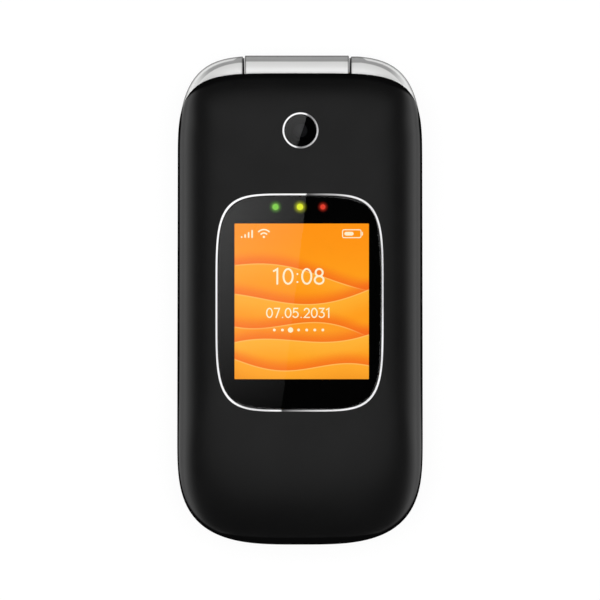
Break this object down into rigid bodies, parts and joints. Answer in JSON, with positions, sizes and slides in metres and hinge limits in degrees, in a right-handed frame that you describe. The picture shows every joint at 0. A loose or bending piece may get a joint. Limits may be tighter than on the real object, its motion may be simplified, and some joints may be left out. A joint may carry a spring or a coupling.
{
  "type": "flip phone",
  "caption": "Slim clamshell mobile phone: satin black lid with an outer display window and camera, silver hinge, keypad and inner display inside.",
  "frame": {"origin": "on the plane that the phone's back lies on, under the middle of the closed phone", "axes": "+Y along the length towards the hinge, +Z out of the closed lid, +X to the right seen from above"},
  "size_m": [0.0532, 0.106, 0.0196],
  "materials": {
    "satin_black": "satin moulded plastic with a fine grain",
    "silver_paint": "silver metallic paint on moulded plastic",
    "gloss_black": "polished",
    "battery_wrap": "plain wrapped pack",
    "gold_plate": "plated",
    "circuit_board": "solder mask",
    "plain_steel": "bright",
    "clear_film": "matt film with metal domes",
    "dark_plastic": "fine matt",
    "flex_film": "amber film",
    "brass": "turned",
    "key_silver": "silver paint under clear coat",
    "key_green": "painted, clear coat",
    "key_red": "painted, clear coat",
    "key_black": "gloss keycap with light legend",
    "chrome_trim": "polished",
    "dark_glass": "tinted window, polished",
    "display_glass": "display stack",
    "led_epoxy": "clear light pipe",
    "soft_rubber": "matt"
  },
  "bodies": {
    "base": {"rear_housing": "satin_black", "front_housing": "silver_paint", "keypad_plate": "gloss_black", "battery": "battery_wrap", "battery_contacts": "gold_plate", "main_board": "circuit_board", "shield_cans": "plain_steel", "dome_sheet": "clear_film", "loudspeaker": "dark_plastic", "microphone": "plain_steel", "vibration_motor": "plain_steel", "usb_port": "plain_steel", "headset_jack": "dark_plastic", "sim_holder": "plain_steel", "antenna": "gold_plate", "side_switches": "dark_plastic", "housing_screws": "plain_steel", "hinge_shaft": "plain_steel", "pivot_bush": "brass", "board_flex": "flex_film"},
    "lid": {"lid_cover": "satin_black", "lid_inner_cover": "silver_paint", "window_bezel": "chrome_trim", "outer_window": "dark_glass", "outer_display": "display_glass", "status_leds": "led_epoxy", "camera_ring": "chrome_trim", "camera_window": "dark_glass", "camera_module": "dark_plastic", "lid_board": "circuit_board", "inner_window": "dark_glass", "inner_display": "display_glass", "earpiece": "dark_plastic", "lid_screws": "plain_steel", "bumpers": "soft_rubber", "magnet": "plain_steel", "hinge_can": "plain_steel", "hinge_spring": "plain_steel", "lid_flex": "flex_film"},
    "soft_key_left": {"soft_key_left": "key_silver"},
    "soft_key_right": {"soft_key_right": "key_silver"},
    "call_key": {"call_key": "key_green"},
    "end_key": {"end_key": "key_red"},
    "ok_key": {"ok_key": "key_black"},
    "key_1": {"key_1": "key_black"},
    "key_2": {"key_2": "key_black"},
    "key_3": {"key_3": "key_black"},
    "key_4": {"key_4": "key_black"},
    "key_5": {"key_5": "key_black"},
    "key_6": {"key_6": "key_black"},
    "key_7": {"key_7": "key_black"},
    "key_8": {"key_8": "key_black"},
    "key_9": {"key_9": "key_black"},
    "key_star": {"key_star": "key_black"},
    "key_0": {"key_0": "key_black"},
    "key_hash": {"key_hash": "key_black"},
    "battery_cover": {"battery_cover": "satin_black"},
    "nav_pad": {"nav_pad": "dark_plastic"},
    "nav_ring": {"nav_ring": "key_silver"},
    "volume_rocker": {"volume_rocker": "silver_paint"}
  },
  "joints": [
    {"name": "lid_hinge", "type": "hinge", "parent": "base", "child": "lid", "pos_m": [0, 0.0468, 0.0104], "axis": [-1, 0, 0], "range_deg": [0, 160]},
    {"name": "battery_cover_slide", "type": "slide", "parent": "base", "child": "battery_cover", "axis": [0, -1, 0], "range_m": [0, 0.018]},
    {"name": "nav_pad_tilt", "type": "hinge", "parent": "base", "child": "nav_pad", "pos_m": [0, 0.0222, 0.0081], "axis": [0, 1, 0], "range_deg": [-1.5, 1.5], "stiffness_Nm_per_rad": 0.3},
    {"name": "nav_ring_tilt", "type": "hinge", "parent": "nav_pad", "child": "nav_ring", "pos_m": [0, 0.0222, 0.0083], "axis": [1, 0, 0], "range_deg": [-1.5, 1.5], "stiffness_Nm_per_rad": 0.3},
    {"name": "volume_rocker_tilt", "type": "hinge", "parent": "base", "child": "volume_rocker", "pos_m": [0.024, 0.008, 0.005], "axis": [0, 0, 1], "range_deg": [-2.5, 2.5], "stiffness_Nm_per_rad": 0.3},
    {"name": "soft_key_left_press", "type": "slide", "parent": "base", "child": "soft_key_left", "axis": [0, 0, -1], "range_m": [0, 0.0003], "stiffness_N_per_m": 2000},
    {"name": "soft_key_right_press", "type": "slide", "parent": "base", "child": "soft_key_right", "axis": [0, 0, -1], "range_m": [0, 0.0003], "stiffness_N_per_m": 2000},
    {"name": "call_key_press", "type": "slide", "parent": "base", "child": "call_key", "axis": [0, 0, -1], "range_m": [0, 0.0003], "stiffness_N_per_m": 2000},
    {"name": "end_key_press", "type": "slide", "parent": "base", "child": "end_key", "axis": [0, 0, -1], "range_m": [0, 0.0003], "stiffness_N_per_m": 2000},
    {"name": "ok_key_press", "type": "slide", "parent": "base", "child": "ok_key", "axis": [0, 0, -1], "range_m": [0, 0.0003], "stiffness_N_per_m": 2000},
    {"name": "key_1_press", "type": "slide", "parent": "base", "child": "key_1", "axis": [0, 0, -1], "range_m": [0, 0.0003], "stiffness_N_per_m": 2000},
    {"name": "key_2_press", "type": "slide", "parent": "base", "child": "key_2", "axis": [0, 0, -1], "range_m": [0, 0.0003], "stiffness_N_per_m": 2000},
    {"name": "key_3_press", "type": "slide", "parent": "base", "child": "key_3", "axis": [0, 0, -1], "range_m": [0, 0.0003], "stiffness_N_per_m": 2000},
    {"name": "key_4_press", "type": "slide", "parent": "base", "child": "key_4", "axis": [0, 0, -1], "range_m": [0, 0.0003], "stiffness_N_per_m": 2000},
    {"name": "key_5_press", "type": "slide", "parent": "base", "child": "key_5", "axis": [0, 0, -1], "range_m": [0, 0.0003], "stiffness_N_per_m": 2000},
    {"name": "key_6_press", "type": "slide", "parent": "base", "child": "key_6", "axis": [0, 0, -1], "range_m": [0, 0.0003], "stiffness_N_per_m": 2000},
    {"name": "key_7_press", "type": "slide", "parent": "base", "child": "key_7", "axis": [0, 0, -1], "range_m": [0, 0.0003], "stiffness_N_per_m": 2000},
    {"name": "key_8_press", "type": "slide", "parent": "base", "child": "key_8", "axis": [0, 0, -1], "range_m": [0, 0.0003], "stiffness_N_per_m": 2000},
    {"name": "key_9_press", "type": "slide", "parent": "base", "child": "key_9", "axis": [0, 0, -1], "range_m": [0, 0.0003], "stiffness_N_per_m": 2000},
    {"name": "key_star_press", "type": "slide", "parent": "base", "child": "key_star", "axis": [0, 0, -1], "range_m": [0, 0.0003], "stiffness_N_per_m": 2000},
    {"name": "key_0_press", "type": "slide", "parent": "base", "child": "key_0", "axis": [0, 0, -1], "range_m": [0, 0.0003], "stiffness_N_per_m": 2000},
    {"name": "key_hash_press", "type": "slide", "parent": "base", "child": "key_hash", "axis": [0, 0, -1], "range_m": [0, 0.0003], "stiffness_N_per_m": 2000}
  ]
}
